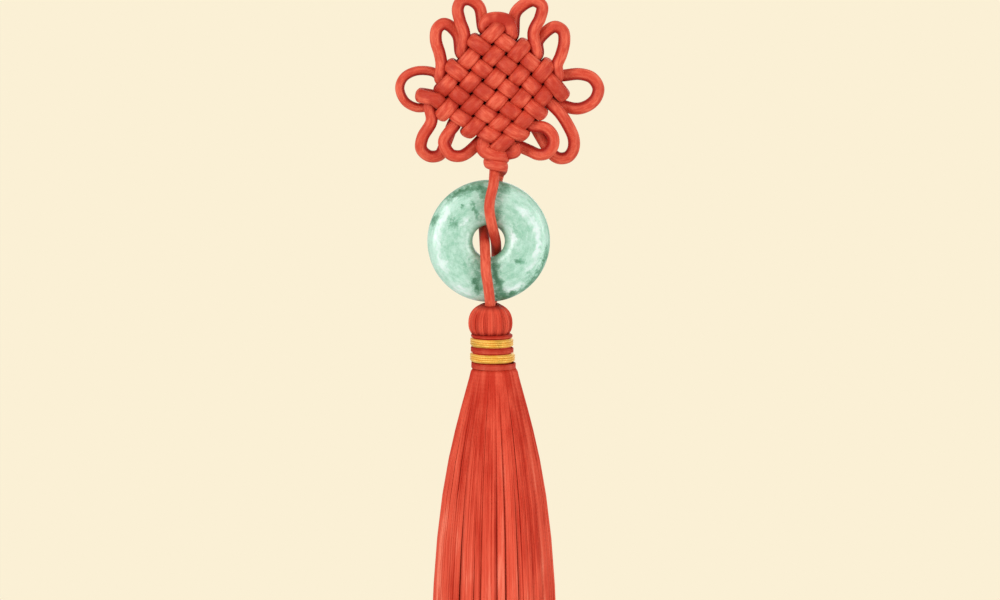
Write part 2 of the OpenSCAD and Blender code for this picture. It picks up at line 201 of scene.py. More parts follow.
# Every cord and thread is a run of rings, each a section of it
def ring(centre, side, rise, shade):
    # side and rise are its half width and half thickness; inner becomes 1 or -1 where the edge that
    # side points to or away from takes painted shade
    return {"centre": centre, "side": side, "rise": rise, "shade": shade, "inner": 0.0}


# Painted shade on a loop's edge that faces its opening
innerEdgeShade = {"dark": 1.4, "from": 0.2}  # strength, and the share of the half width where it starts
edgePower = 6  # how closely the shade keeps to a flat cord's two edges


def cordLayers(bm):
    # The place on the cord (across, up, along), the shade, and the cord's own tone
    number = bm.verts.layers.float
    return bm.verts.layers.float_vector.new("lay"), number.new("shade"), number.new("tone")


class Body:
    # A bmesh that cords are added to, and the piece that it becomes
    def __init__(self):
        self.bm = bmesh.new()
        cordLayers(self.bm)

    def tube(self, rings, sides, tone=0.5, edgeShade=0.0):
        part = bmesh.new()
        layOf, shadeOf, toneOf = cordLayers(part)
        verts = bmesh.ops.create_circle(part, segments=sides, radius=1.0)["verts"]
        for v in verts:
            v[layOf] = (v.co.x, v.co.y, 0.0)
        edges = list(part.edges)
        firstEdges = edges
        run = 0.0
        for i, here in enumerate(rings):
            if i:
                run += (here["centre"] - rings[i - 1]["centre"]).length
                grown = bmesh.ops.extrude_edge_only(part, edges=edges)["geom"]
                verts = [g for g in grown if isinstance(g, bmesh.types.BMVert)]
                fresh = set(verts)
                edges = [
                    g for g in grown
                    if isinstance(g, bmesh.types.BMEdge) and g.verts[0] in fresh and g.verts[1] in fresh
                ]
            for v in verts:
                across, up = v[layOf][0], v[layOf][1]
                v.co = here["centre"] + here["side"] * across + here["rise"] * up
                v[layOf] = (across, up, run)
                # Painted shade along the cord's two edges, and more on the edge that faces a loop's opening
                facing = max(0.0, here["inner"] * across - innerEdgeShade["from"])
                edge = edgeShade * abs(across) ** edgePower
                edge += innerEdgeShade["dark"] * facing / (1 - innerEdgeShade["from"])
                v[shadeOf] = min(1.0, here["shade"] + edge)
                v[toneOf] = tone
        bmesh.ops.edgeloop_fill(part, edges=firstEdges)
        bmesh.ops.edgeloop_fill(part, edges=edges)
        bmesh.ops.recalc_face_normals(part, faces=part.faces)
        mesh = bpy.data.meshes.new("part")
        part.to_mesh(mesh)
        part.free()
        self.bm.from_mesh(mesh)
        bpy.data.meshes.remove(mesh)

    def piece(self, node, material):
        finishPiece(self.bm, node, material)


def smoothMesh(bm, name):
    for face in bm.faces:
        face.smooth = True
    mesh = bpy.data.meshes.new(name)
    bm.to_mesh(mesh)
    bm.free()
    return mesh


def finishPiece(bm, node, material):
    # The piece for one of the model's nodes: top_loop becomes topLoop
    first, *words = node.split("_")
    name = first + "".join(word.capitalize() for word in words)
    bmesh.ops.scale(bm, vec=(mm, mm, mm), verts=bm.verts)
    made = bpy.data.objects.new(name, smoothMesh(bm, name))
    scene.collection.objects.link(made)
    made.data.materials.append(material)
    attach(made, "root")
    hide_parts(node)


# Cord: the weave presses it flat, and where it lies on top it swells
cord = {
    "radius": 1.5, "sides": 16, "flat": 0.975,  # flat: its half thickness where it is pressed
    "gap": 0.16, "wave": 1.38,  # room between two layers, and how far a strand goes over and under
    "swell": 0.6, "spread": 1.42, "tuck": 1.34, "backSpread": 1.52, "backTuck": 1.62,  # on top and under
    "bightRoom": 0.9, "pairGap": 0.1,  # swell left at a turn, and room between a front and a back loop
    "edgeShade": 0.35, "underShade": 0.95, "underPower": 0.8,
}
cordLook = {
    "paleStroke": (238, 108, 78), "stroke": (212, 71, 46), "drift": (182, 42, 22), "shadow": (166, 27, 11),
    "threads": 8.0, "twist": 6.3, "bump": 0.35, "bumpHeight": 0.00008,
}
layerMid = cord["wave"] + cord["flat"] + cord["gap"] / 2
layerIn = layerMid - cord["wave"]
layerOut = layerMid + cord["wave"]
pairDepth = cord["radius"] + cord["pairGap"]
towardFront = Vector((0, -1, 0))


def cordPaint():
    paint = Paint(
        "cord", Sheen_Weight=0.12, Sheen_Roughness=0.4, Sheen_Tint=colour(255, 170, 150),
        Specular_IOR_Level=0.25,
    )
    around, up, along = paint.parts(paint.attribute("lay", "Vector"))
    # Soft strokes along the cord, and slow changes from place to place
    streak = paint.noise(paint.joined(around * 2.6, up * 2.6, along * 0.35), 1.0, 3.0, 0.6)
    drift = paint.noise(paint.objectPlace(), 170.0, 2.0)
    bright = paint.blend(streak.between(0.35, 0.68), cordLook["stroke"], cordLook["paleStroke"])
    darker = drift.between(0.4, 0.62) * paint.attribute("tone")
    body = paint.blend(darker, bright, cordLook["drift"])
    shade = paint.attribute("shade").between(0.08, 1.0)
    paint.feed("Base Color", paint.blend(shade, body, cordLook["shadow"]))
    paint.feed("Roughness", streak * 0.16 + 0.47)
    # Braid: two sets of threads that cross round the cord
    turn = up.maths("ARCTAN2", around) * cordLook["threads"]
    climb = along * cordLook["twist"]
    braid = (turn + climb).maths("SINE").maths("MAXIMUM", (turn - climb).maths("SINE"))
    paint.feed("Normal", paint.bump(braid, cordLook["bump"], cordLook["bumpHeight"]))
    return paint.material


# Woven body: u and v count the strands from the left and the bottom edge, 0 to 6
knot = {
    "lines": 6, "top": Vector((0, -1.2)), "right": Vector((17.4, -19.1)),
    "bottom": Vector((0.3, -35.6)), "left": Vector((-19.7, -20.2)),
    "bulgeUpperRight": 0.9, "bulgeLowerRight": 0.6, "bulgeLowerLeft": 1.3, "bulgeUpperLeft": 0.3,
    "turnGap": 0.42, "turnPower": 0.85, "stepsPerStrand": 14, "turnSteps": 14, "tone": 0.7,
    # The loose turns at the right and left corners lean out, by this much
    "lean": {("G", 0): Vector((0.51, -0.86)) * 1.75, ("H", 2): Vector((-0.88, -0.48)) * 2.5},
}
nudge = 0.01  # a short way along a strand, to find its direction


def bodyPoint(u, v):
    slots = knot["lines"] - 0.5
    a, b = u - knot["lines"] / 2, v - knot["lines"] / 2
    scale = slots * slots + 0.25
    s = (slots * a - 0.5 * b) / scale
    t = (0.5 * a + slots * b) / scale
    upper = mix(knot["top"], knot["right"], 0.5 + s)
    lower = mix(knot["left"], knot["bottom"], 0.5 + s)
    slant = (1 - 4 * s * s) * (knot["bulgeUpperRight"] * (0.5 + t) - knot["bulgeLowerLeft"] * (0.5 - t))
    cross = (1 - 4 * t * t) * (knot["bulgeLowerRight"] * (0.5 + s) - knot["bulgeUpperLeft"] * (0.5 - s))
    return mix(lower, upper, 0.5 + t) + Vector((0.7, 0.7)) * slant + Vector((0.7, -0.7)) * cross


def strandUv(family, n, along):
    far = knot["lines"]
    return {
        "V": (2 * n + 1.5, far - along), "W": (2 * n + 0.5, along),
        "G": (along, far - 2 * n - 0.5), "H": (far - along, far - 2 * n - 1.5),
    }[family]


def strandPoint(family, n, along):
    return bodyPoint(*strandUv(family, n, along))


def strandHeading(family, n, along):
    return (strandPoint(family, n, along + nudge) - strandPoint(family, n, along - nudge)).normalized()


def strandSide(family, n, along):
    # Along the strands that cross here, so that a pressed cord lies flush with them
    u, v = strandUv(family, n, along)
    du, dv = (nudge, 0) if family in "VW" else (0, nudge)
    crossing = (bodyPoint(u + du, v + dv) - bodyPoint(u - du, v - dv)).normalized()
    heading = strandHeading(family, n, along)
    return place(crossing / (crossing.x * heading.y - crossing.y * heading.x), 0)


def pressedRing(centre, side, rise, over, room, shade, leg):
    # On top the cord spreads and swells outward, as far as its neighbours leave room
    tuck, top = (cord["tuck"], cord["spread"]) if leg > 0 else (cord["backTuck"], cord["backSpread"])
    spread = mix(tuck, top, over)
    wide = cord["radius"] * mix(1, spread, room)
    swell = cord["swell"] * over * room
    return ring(centre + rise * swell / 2, side * wide, rise * (cord["flat"] + swell / 2), shade)


def bightRings(family, n):
    last = knot["lines"] - 0.5
    lean = knot["lean"].get((family, n))
    endSide = strandSide(family, n, last)
    reach = cord["radius"] * endSide.length + knot["turnGap"] + cord["flat"]
    tip = strandHeading(family, n, last) * reach
    tipSide = endSide
    if lean:
        tip = tip + lean
        tipSide = place((tip.y, -tip.x), 0).normalized()
        tipSide *= math.copysign(1, tipSide.dot(endSide))
    power = 1.0 if lean else knot["turnPower"]
    steps = round((last - 0.5) * knot["stepsPerStrand"])
    legs = []
    for k in range(steps + 1):
        along = mix(0.5, last, k / steps)
        over = 0.5 - 0.5 * math.cos(math.pi * (along - 0.5))
        room = mix(1, cord["bightRoom"], ease(along - last + 1)) * ease(along * 2 - 1)
        depth = layerMid + cord["wave"] * (2 * over - 1)
        point = strandPoint(family, n, along)
        ahead = strandHeading(family, n, along)
        legs.append((place(point, depth), strandSide(family, n, along), ahead, over, room))
    turn = []
    for k in range(1, knot["turnSteps"]):
        f = math.pi * k / knot["turnSteps"]
        out = strandPoint(family, n, last) + tip * math.sin(f) ** power
        depth = math.copysign(layerOut * abs(math.cos(f)) ** power, math.cos(f))
        turn.append((place(out, depth), mix(endSide, tipSide, math.sin(f)), tip, 1.0, cord["bightRoom"]))
    back = [(Vector((leg[0].x, -leg[0].y, leg[0].z)), *leg[1:]) for leg in reversed(legs)]
    stations = legs + turn + back
    ways = headings([station[0] for station in stations])
    ways[0] = place(stations[0][2], 0)
    ways[-1] = -place(stations[-1][2], 0)
    rings = []
    for (centre, side, ahead, over, room), way in zip(stations, ways):
        square = Vector((ahead.y, 0, -ahead.x))
        turned = -side if side.dot(square) < 0 else side
        rise = square.cross(way).normalized()
        leg = 1 if len(rings) < len(legs) + len(turn) / 2 else -1
        shade = cord["underShade"] * (1 - over) ** cord["underPower"]
        rings.append(pressedRing(centre, turned, rise, over, room, shade, leg))
    return rings


def makeWeave(material):
    body = Body()
    for family in "VWGH":
        for n in range(3):
            body.tube(bightRings(family, n), cord["sides"], knot["tone"], cord["edgeShade"])
    body.piece("pan_chang_weave", material)


# Loops: each goes from one strand's open end to another's, through these points
loops = {
    # Ends are given as family, number and leg (1 front, -1 back)
    "top_loop": {
        "from": ("V", 0, 1), "to": ("G", 0, 1), "inward": 0.7, "tone": 0.95,
        "points": [(3.7, -0.5), (2.4, 1.2), (-0.1, 1.72), (-2.6, 1.35), (-4.0, 0.0)],
    },
    "ear_left_1": {
        "from": ("G", 0, -1), "to": ("G", 1, 1),
        "points": [(-5.0, 4.1), (-7.7, 6.6), (-10.5, 6.4), (-11.8, 3.9), (-11.1, 0.3), (-9.9, -3.4)],
    },
    "ear_left_2": {
        "from": ("G", 1, -1), "to": ("G", 2, 1),
        "points": [
            (-11.2, -4.0), (-13.4, -1.1), (-15.8, -0.2), (-17.8, -1.9), (-18.1, -5.2), (-17.0, -9.0),
            (-16.5, -12.2),
        ],
    },
    "ear_left_3": {
        "from": ("G", 2, -1), "to": ("W", 0, -1), "inward": -0.15,
        "points": [
            (-19.1, -14.4), (-23.4, -14.2), (-26.9, -15.9), (-28.2, -19.1), (-26.7, -22.7), (-23.4, -24.5),
        ],
    },
    "ear_left_4": {
        "from": ("W", 0, 1), "to": ("W", 1, -1), "switch": (0.1, 0.65),
        "points": [
            (-19.4, -28.3), (-21.9, -32.8), (-22.4, -36.5), (-20.0, -38.9), (-16.8, -38.6), (-15.2, -35.8),
        ],
    },
    "ear_left_5": {
        "from": ("W", 1, 1), "to": ("W", 2, -1), "switch": (0.55, 1),
        "points": [(-15.8, -34.0), (-14.2, -37.8), (-11.3, -38.7), (-8.4, -37.6)],
    },
    "ear_right_1": {
        "from": ("V", 0, -1), "to": ("V", 1, 1),
        "points": [(4.6, 2.2), (7.0, 5.1), (10.2, 6.5), (12.9, 4.8), (12.3, 1.2), (10.4, -3.0)],
    },
    "ear_right_2": {
        "from": ("V", 1, -1), "to": ("V", 2, 1),
        "points": [
            (11.2, -5.6), (13.6, -2.6), (16.4, -1.0), (18.9, -2.4), (19.3, -5.6), (18.4, -9.3),
            (17.2, -12.3),
        ],
    },
    "ear_right_3": {
        "from": ("V", 2, -1), "to": ("H", 0, -1),
        "points": [
            (19.1, -15.1), (23.4, -14.7), (27.2, -15.8), (29.2, -18.9), (28.3, -22.3), (25.4, -24.6),
            (21.5, -25.1),
        ],
    },
    "ear_right_4": {
        "from": ("H", 0, 1), "to": ("H", 1, -1), "switch": (0.1, 0.65),
        "points": [
            (18.0, -25.8), (20.2, -29.1), (22.0, -33.1), (22.0, -36.7), (20.2, -39.2), (17.1, -39.4),
            (14.4, -36.8),
        ],
    },
    "ear_right_5": {
        "from": ("H", 1, 1), "to": ("H", 2, -1), "switch": (0.6, 0.9),
        "points": [(13.6, -30.0), (15.9, -32.3), (16.1, -35.4), (14.3, -37.7), (11.7, -38.3), (8.9, -37.3)],
    },
}
# Where a loop doesn't say otherwise: the share of its points where it changes layer,
# its steps from point to point, how much fuller it is towards its opening, and its tone
loopLook = {"switch": (0, 1), "steps": 8, "inward": 0.25, "tone": 0.35}
# A loop's foot comes out of the weave at three stations, from the last crossing outward:
# its place along the strand, depth, half thickness and shade
root = [(0.5, layerIn, cord["flat"], 0.6), (0.2, 1.3, 1.18, 0.35), (-0.1, pairDepth, cord["radius"], 0.1)]


def rootStations(end):
    family, n, leg = end
    return [
        (place(strandPoint(family, n, along), depth * leg), towardFront, thick, 1, shade)
        for along, depth, thick, shade in root
    ]


def cordRings(stations, steps):
    # Stations: centre, the way that faces outward, half thickness, share of the cord's width, shade
    path, outs, thick, wide, shades = (curveThrough(values, steps) for values in zip(*stations))
    rings = []
    for centre, way, out, deep, broad, shade in zip(path, headings(path), outs, thick, wide, shades):
        side = way.cross(out).normalized()
        rings.append(ring(centre, side * cord["radius"] * broad, side.cross(way) * deep, shade))
    return rings


def matchEnd(rings, end, steps):
    # Turns the first rings into the section that the weave has there
    family, n, leg = end
    section = strandSide(family, n, 0.5) * cord["radius"]
    if section.dot(rings[0]["side"]) < 0:
        section = -section
    for k in range(steps):
        rings[k]["side"] = mix(section, rings[k]["side"], ease(k / steps))


def loopRings(row):
    points, steps = row["points"], row["steps"]
    low, high = row["switch"]
    stations = rootStations(row["from"])
    for i, point in enumerate(points):
        share = ((i + 1) / (len(points) + 1) - low) / (high - low)
        centre = place(point, pairDepth * mix(row["from"][2], row["to"][2], ease(share)))
        stations.append((centre, towardFront, cord["radius"], 1, 0.0))
    stations += reversed(rootStations(row["to"]))
    rings = cordRings(stations, steps)
    matchEnd(rings, row["from"], steps)
    rings.reverse()
    matchEnd(rings, row["to"], steps)
    rings.reverse()
    # The edge that faces the loop's opening is fuller and takes painted shade
    middle = sum((here["centre"] for here in rings), Vector()) / len(rings)
    for i, here in enumerate(rings):
        inner = math.copysign(1, here["side"].dot(middle - here["centre"]))
        fuller = row["inward"] * ease(min(i, len(rings) - 1 - i) / steps / 2)
        here["inner"] = inner
        here["centre"] = here["centre"] + here["side"].normalized() * inner * fuller
        here["side"] = here["side"] * (1 + fuller / cord["radius"])
    return rings


def makeLoops(material):
    for node, own in loops.items():
        row = {**loopLook, **own}
        body = Body()
        body.tube(loopRings(row), cord["sides"], row["tone"], cord["edgeShade"])
        body.piece(node, material)


# Wrapped knot: the left end goes round the other end and down, the right end tucks in
wraps = {
    "centreX": (-0.8, -0.35), "top": -38.15, "drop": 2.85, "half": 1.66, "wide": (3.4, 2.3), "deep": 2.9,
    "turns": 1.25, "steps": 20, "smooth": 4, "shade": 0.1, "edgeShade": 0.7, "tone": 0.2, "tuckTone": 0.3,
}
# The runs before and after: x, depth, z, half thickness, share of the cord's width, shade,
# and the way that faces outward where that isn't the front
leadRun = [
    (-4.2, 1.9, -35.0, 1.5, 1.5, 0.0), (-4.1, 2.3, -36.6, 1.4, 1.35, 0.0),
    (-2.8, 2.7, -37.5, 1.2, 1.3, 0.15),
]
tailRun = [
    (1.5, -1.5, -42.9, 1.1, 0.88, 0.2, Vector((0.8, 0.6, 0))),
    (0.7, -2.6, -43.7, 1.25, 0.93, 0.2, Vector((0.4, 0.9, 0))),
]
tuckRun = [
    (4.4, 1.75, -35.5, 1.5, 1.15, 0.1), (5.1, 1.75, -36.4, 1.5, 1.2, 0.15),
    (4.7, 1.65, -37.2, 1.5, 1.25, 0.3), (3.4, 1.3, -37.5, 1.4, 1.3, 0.7), (2.0, 0.8, -38.0, 1.2, 1.2, 1.0),
]

# The two ends pass the ring on opposite sides and cross in its hole: x and z of each route
frontRoute = [
    (-0.9, -40.6), (-1.0, -42.7), (-1.3, -46.4), (-2.1, -49.7), (-2.5, -53.0), (-2.1, -56.4), (-1.4, -59.7),
    (-0.7, -63.0), (-0.5, -65.6), (-0.5, -69.0), (-0.9, -74.0), (-1.5, -79.0), (-1.8, -81.8), (-1.9, -83.0),
    (-1.9, -84.2),
]
backRoute = [
    (0.2, -44.6), (-0.5, -47.0), (-1.8, -50.4), (-3.1, -54.0), (-4.1, -58.0), (-4.0, -61.4), (-3.8, -64.7),
    (-3.6, -68.0), (-3.5, -71.3), (-3.0, -74.7), (-2.5, -78.5), (-2.2, -81.8), (-2.1, -83.0), (-2.1, -84.2),
]
jade = {"centre": Vector((-2.7, -63.2)), "outer": 17.75, "hole": 4.65, "half": 3.4, "fullness": 2 / 2.4}
hang = {
    "gap": 0.3, "dip": 9, "leave": 39, "close": 1.6, "frontTop": 0.1, "backTop": 2.9, "tone": 0.2,
    "edgeShade": 0.175, "holeShade": 0.72, "frontClear": (2.4, 4.3), "backClear": (0.2, 2.0),
}


def strandDepth(z, topDepth):
    lift = jade["half"] + cord["radius"] + hang["gap"]
    rim = jade["outer"] - jade["half"]
    away = abs(z - jade["centre"].y)
    above = z > jade["centre"].y
    leave = math.radians(hang["leave"])
    if away < rim:
        depth = lift * math.sin(math.radians(90 * min(1, away / hang["dip"])))
    else:
        past = away - rim
        if past < lift * math.cos(leave):
            depth = math.sqrt(lift * lift - past * past)
        else:
            depth = (lift - past * math.cos(leave)) / math.sin(leave)
        depth = max(depth, topDepth if above else hang["close"])
    return depth if above else -depth


def holeShade(point, clear):
    # Painted shade inside the ring's hole, until the cord comes out in front, between these two depths
    away = (point.z - jade["centre"].y) / jade["hole"]
    out = ease((-point.y - clear[0]) / (clear[1] - clear[0]))
    return hang["holeShade"] * math.exp(-(away**4)) * (1 - out)


def hangStations(route, leg, topDepth, clear):
    stations = []
    for point in curveThrough([Vector(point) for point in route], 2):
        centre = place(point, leg * strandDepth(point.y, topDepth))
        stations.append((centre, towardFront * leg, cord["radius"], 1, holeShade(centre, clear)))
    return stations


def wrapStation(turn):
    a = math.radians(90 - 360 * turn)
    part = turn / wraps["turns"]
    x = mix(*wraps["centreX"], part) + mix(*wraps["wide"], part) * math.cos(a)
    centre = Vector((x, -wraps["deep"] * math.sin(a), wraps["top"] - wraps["drop"] * turn))
    out = Vector((math.cos(a), -math.sin(a), 0))
    return centre, out, cord["flat"], wraps["half"] / cord["radius"], wraps["shade"]


def runStations(run):
    return [
        (Vector((x, -depth, z)), out[0] if out else towardFront, thick, wide, shade)
        for x, depth, z, thick, wide, shade, *out in run
    ]


def makeEnds(material):
    # The left end: from the weave round the knot, and on as the back cord
    steps = wraps["smooth"]
    wound = [wrapStation(wraps["turns"] * k / wraps["steps"]) for k in range(wraps["steps"] + 1)]
    knotted = [*rootStations(("W", 2, 1)), *runStations(leadRun), *wound, *runStations(tailRun)]
    back = hangStations(backRoute, -1, hang["backTop"], hang["backClear"])
    rings = cordRings([*knotted, *back], steps)
    matchEnd(rings, ("W", 2, 1), steps)
    cut = (len(knotted) - 1) * steps
    # The right end tucks in under the turns
    tucked = cordRings([*rootStations(("H", 2, 1)), *runStations(tuckRun)], steps)
    matchEnd(tucked, ("H", 2, 1), steps)
    body = Body()
    body.tube(rings[: cut + 1], cord["sides"], wraps["tone"], wraps["edgeShade"])
    body.tube(tucked, cord["sides"], wraps["tuckTone"], cord["edgeShade"])
    body.piece("bottom_knot", material)
    # The two cords that the ring hangs on
    front = cordRings(hangStations(frontRoute, 1, hang["frontTop"], hang["frontClear"]), steps)
    for node, cordRun in (("back_cord", rings[cut:]), ("front_cord", front)):
        body = Body()
        body.tube(cordRun, cord["sides"], hang["tone"], hang["edgeShade"])
        body.piece(node, material)


# Jade ring, and where its moss green and painted shade beside the cords, and its milky clouds and painted
# highlights, lie round it
jadeLook = {
    "around": 160, "section": 56, "rimWide": 0.7, "holeWide": 1.9, "warp": 4.0,
    "pale": (198, 231, 214), "green": (152, 202, 175), "rim": (88, 168, 128), "holeRim": (78, 170, 126),
    "tint": (112, 176, 142), "mossAndShadeGreen": (62, 126, 88), "milkAndHighlightWhite": (232, 246, 241),
    # Rows: angle, radius, half length round the ring, half width across it, strength
    # Moss green, some rows of it painted shade beside the two cords
    "moss": [
        (127, 16.6, 3.4, 1.4, 1.1), (112, 16.4, 3.0, 1.4, 1.0), (98, 16.0, 2.4, 1.6, 0.8),
        (158, 16.6, 2.8, 1.1, 1.1), (73, 16.4, 2.6, 1.4, 0.9), (78, 13.4, 1.3, 2.6, 0.6),
        (96, 13.5, 0.9, 2.8, 0.9), (125.6, 12.3, 0.6, 0.6, 1.3), (151, 11.3, 1.9, 2.2, 0.95),
        (113, 10.6, 0.9, 3.0, 1.0), (253, 11.4, 1.5, 3.8, 1.0), (258, 14.0, 1.5, 2.0, 0.9),
        (225, 9.0, 2.4, 1.8, 0.5), (280, 8.6, 1.2, 2.6, 0.9), (284, 13.2, 1.5, 3.2, 1.2),
        (290, 16.6, 3.4, 1.5, 1.3), (318, 17.1, 5.5, 1.1, 1.1), (345, 17.0, 3.6, 1.0, 1.0),
        (327, 10.3, 1.1, 2.0, 1.1), (320, 15.0, 1.6, 0.9, 0.6), (30, 8.6, 2.4, 1.4, 0.5),
        (290, 6.9, 1.5, 1.5, 0.9), (243, 7.4, 1.7, 1.6, 0.7), (102, 7.0, 1.4, 1.4, 0.6),
        (72, 8.8, 1.2, 2.4, 0.8), (76, 6.4, 1.3, 1.2, 0.8), (284, 10.2, 1.2, 2.0, 0.6),
    ],
    # Milky clouds, and painted highlight arcs on the ring's rounded faces
    "milk": [
        (178, 14.7, 6.0, 0.9, 0.9), (148, 14.6, 3.5, 0.9, 0.8), (206, 14.6, 2.5, 1.3, 0.8),
        (138, 9.1, 2.0, 0.8, 0.9), (44, 13.2, 2.6, 1.3, 0.9), (20, 14.2, 4.0, 1.0, 0.9),
        (352, 14.4, 4.2, 1.1, 1.0), (327, 13.8, 2.6, 0.9, 0.7), (298, 15.2, 3.2, 1.2, 1.0),
        (8, 7.2, 3.2, 1.0, 1.1), (240, 16.0, 5.0, 1.6, 0.8),
    ],
    "band": (7.6, 9.4, 11.6, 13.4),  # a slightly greener band: from, full, full until, to
}


def patches(paint, x, z, rows):
    total = None
    for angle, radius, long, wide, strength in rows:
        cos, sin = math.cos(math.radians(angle)), math.sin(math.radians(angle))
        along = z * cos - x * sin
        across = x * cos + z * sin - radius + along * along * (0.5 / radius)
        away = along * along * (1 / long**2) + across * across * (1 / wide**2)
        spot = (away * -1.0).maths("EXPONENT") * strength
        total = spot if total is None else total + spot
    return total


def jadePaint():
    paint = Paint(
        "jade", Specular_IOR_Level=0.5, IOR=1.62, Subsurface_Weight=0.25,
        Subsurface_Radius=(0.6, 1.0, 0.8), Subsurface_Scale=0.0015, Coat_Weight=0.15, Coat_Roughness=0.2,
    )
    # Millimetres from the ring's middle, and the same bent a little
    middle = (-jade["centre"].x, 0, -jade["centre"].y)
    scaled = paint.node(
        "ShaderNodeMapping", None,
        {"Vector": paint.objectPlace(), "Location": middle, "Scale": (1 / mm, 1 / mm, 1 / mm)},
    )
    drawn = {"Vector": scaled, "Scale": 0.55, "Detail": 5.0}
    cloud = paint.node("ShaderNodeTexNoise", None, drawn, "Color")
    warp = jadeLook["warp"]
    shift = paint.node(
        "ShaderNodeVectorMath", {"operation": "MULTIPLY_ADD"}, [cloud, (warp,) * 3, (-warp / 2,) * 3],
    )
    bent = paint.node("ShaderNodeVectorMath", {"operation": "ADD"}, [scaled, shift])
    x, y, z = paint.parts(bent)
    flatX, flatY, flatZ = paint.parts(scaled)
    reach = (flatX * flatX + flatZ * flatZ) ** 0.5
    # Round the ring the clouds are drawn out, across it they are short
    ringwise = paint.joined(flatX * reach**-1.0 * 5.0, flatZ * reach**-1.0 * 5.0, reach * 0.9 + flatY * 0.5)
    fine = paint.noise(scaled, 1.1, 6.0, 0.65)
    wide = paint.noise(ringwise, 0.7, 4.0, 0.6)
    grain = paint.noise(ringwise, 1.3, 4.0, 0.6)
    speck = paint.noise(scaled, 2.4, 3.0, 0.7)
    # Moss spots, some of them painted shade beside the cords; they also tint the green around them
    mossAndShadeSpots = patches(paint, x, z, jadeLook["moss"])
    tint = (mossAndShadeSpots + (grain - 0.5) * 0.9 + (speck - 0.5) * 0.7).between(0.1, 0.95)
    moss = (mossAndShadeSpots + (fine - 0.5) * 1.6 + (speck - 0.5) * 1.2).between(0.45, 1.5)
    # Milky clouds, partly painted highlight arcs
    cloudsAndHighlights = patches(paint, x, z, jadeLook["milk"])
    milk = (cloudsAndHighlights + (grain - 0.5) * 1.2 - (wide - 0.5) * 0.6).between(0.2, 1.1)
    inner, innerFull, outerFull, outer = jadeLook["band"]
    band = reach.between(inner, innerFull) * (1 - reach.between(outerFull, outer))
    green = (grain * 0.8 + wide * 0.8 + fine * 0.4 + speck * 0.5 + band * 0.14).between(1.0, 1.62)
    stone = paint.blend(green, jadeLook["pale"], jadeLook["green"])
    outerRim = reach.between(jade["outer"] - jadeLook["rimWide"], jade["outer"])
    holeRim = 1 - reach.between(jade["hole"], jade["hole"] + jadeLook["holeWide"])
    # The rim is palest at the lower left
    rimDark = (flatX * 0.75 + flatZ * 0.66).between(-15.0, 0.0)
    rimmed = paint.blend(outerRim * rimDark * 0.6, stone, jadeLook["rim"])
    rimmed = paint.blend(holeRim * 0.65, rimmed, jadeLook["holeRim"])
    tinted = paint.blend(tint * 0.7, rimmed, jadeLook["tint"])
    mossy = paint.blend(moss, tinted, jadeLook["mossAndShadeGreen"])
    paint.feed("Base Color", paint.blend(milk * 0.9, mossy, jadeLook["milkAndHighlightWhite"]))
    paint.feed("Roughness", fine * 0.14 + moss * 0.06 + 0.18)
    return paint.material


def makeJade(material):
    bm = bmesh.new()
    verts = bmesh.ops.create_circle(bm, segments=jadeLook["section"], radius=1.0)["verts"]
    crown = (jade["outer"] + jade["hole"]) / 2
    half = jade["outer"] - crown
    for v in verts:
        c, s = v.co.x, v.co.y
        x = crown + half * math.copysign(abs(c) ** jade["fullness"], c)
        y = jade["half"] * math.copysign(abs(s) ** jade["fullness"], s)
        v.co = (x, y, 0)
    bmesh.ops.spin(
        bm, geom=bm.verts[:] + bm.edges[:], cent=(0, 0, 0), axis=(0, 1, 0), angle=math.tau,
        steps=jadeLook["around"], use_merge=True,
    )
    bmesh.ops.remove_doubles(bm, verts=bm.verts, dist=0.0005)
    bmesh.ops.recalc_face_normals(bm, faces=bm.faces)
    bmesh.ops.translate(bm, verts=bm.verts, vec=place(jade["centre"], 0))
    finishPiece(bm, "jade_ring", material)


# Tassel, by heights and widths in millimetres
tassel = {
    "headX": -2.2, "neckX": -1.8, "headTop": -82.0, "neckTop": -90.3, "neckBottom": -100.5, "neckR": 6.35,
}
silkLook = {
    "dark": (198, 50, 28), "mid": (230, 89, 63), "light": (250, 134, 106), "shadow": (126, 16, 8),
    "twist": (3.0, 5.0), "bump": 0.25, "bumpHeight": 0.00006,
}


def twistBump(paint, around, up, along, look):
    # The twist of a thread: so many ridges round it, and how fast they climb
    ridges, climb = look["twist"]
    twist = (up.maths("ARCTAN2", around) * ridges + along * climb).maths("SINE")
    paint.feed("Normal", paint.bump(twist, look["bump"], look["bumpHeight"]))


def silkPaint():
    paint = Paint(
        "silk", Sheen_Weight=0.05, Sheen_Roughness=0.35, Sheen_Tint=colour(255, 150, 120),
        Specular_IOR_Level=0.15,
    )
    around, up, along = paint.parts(paint.attribute("lay", "Vector"))
    tone = paint.attribute("tone")
    streak = paint.noise(paint.joined(around * 1.8, up * 1.8, along * 0.12 + tone * 40.0), 1.0, 3.0, 0.6)
    # Broad soft patches, a few millimetres wide and some centimetres long
    stretch = {"Vector": paint.objectPlace(), "Scale": (330, 330, 45)}
    broad = paint.noise(paint.node("ShaderNodeMapping", None, stretch), 1.0, 3.0)
    paler = along.between(8.0, 60.0) * 0.37  # down the skirt
    level = tone * 0.55 + (streak - 0.5) * 0.8 + (broad - 0.5) * 1.6 + paler + 0.03
    thread = paint.blend(level.between(0.1, 0.75), silkLook["dark"], silkLook["mid"])
    lit = paint.blend(level.between(0.7, 1.15), thread, silkLook["light"])
    paint.feed("Base Color", paint.blend(paint.attribute("shade"), lit, silkLook["shadow"]))
    paint.feed("Roughness", streak * 0.16 + 0.52)
    twistBump(paint, around, up, along, silkLook)
    return paint.material


def threadRings(stations, flat=1.0):
    # Stations: centre, the way that faces outward, radius, shade
    rings = []
    ways = headings([station[0] for station in stations])
    for way, (centre, out, radius, shade) in zip(ways, stations):
        side = way.cross(out).normalized()
        rings.append(ring(centre, side * radius * flat, side.cross(way) * radius / flat, shade))
    return rings


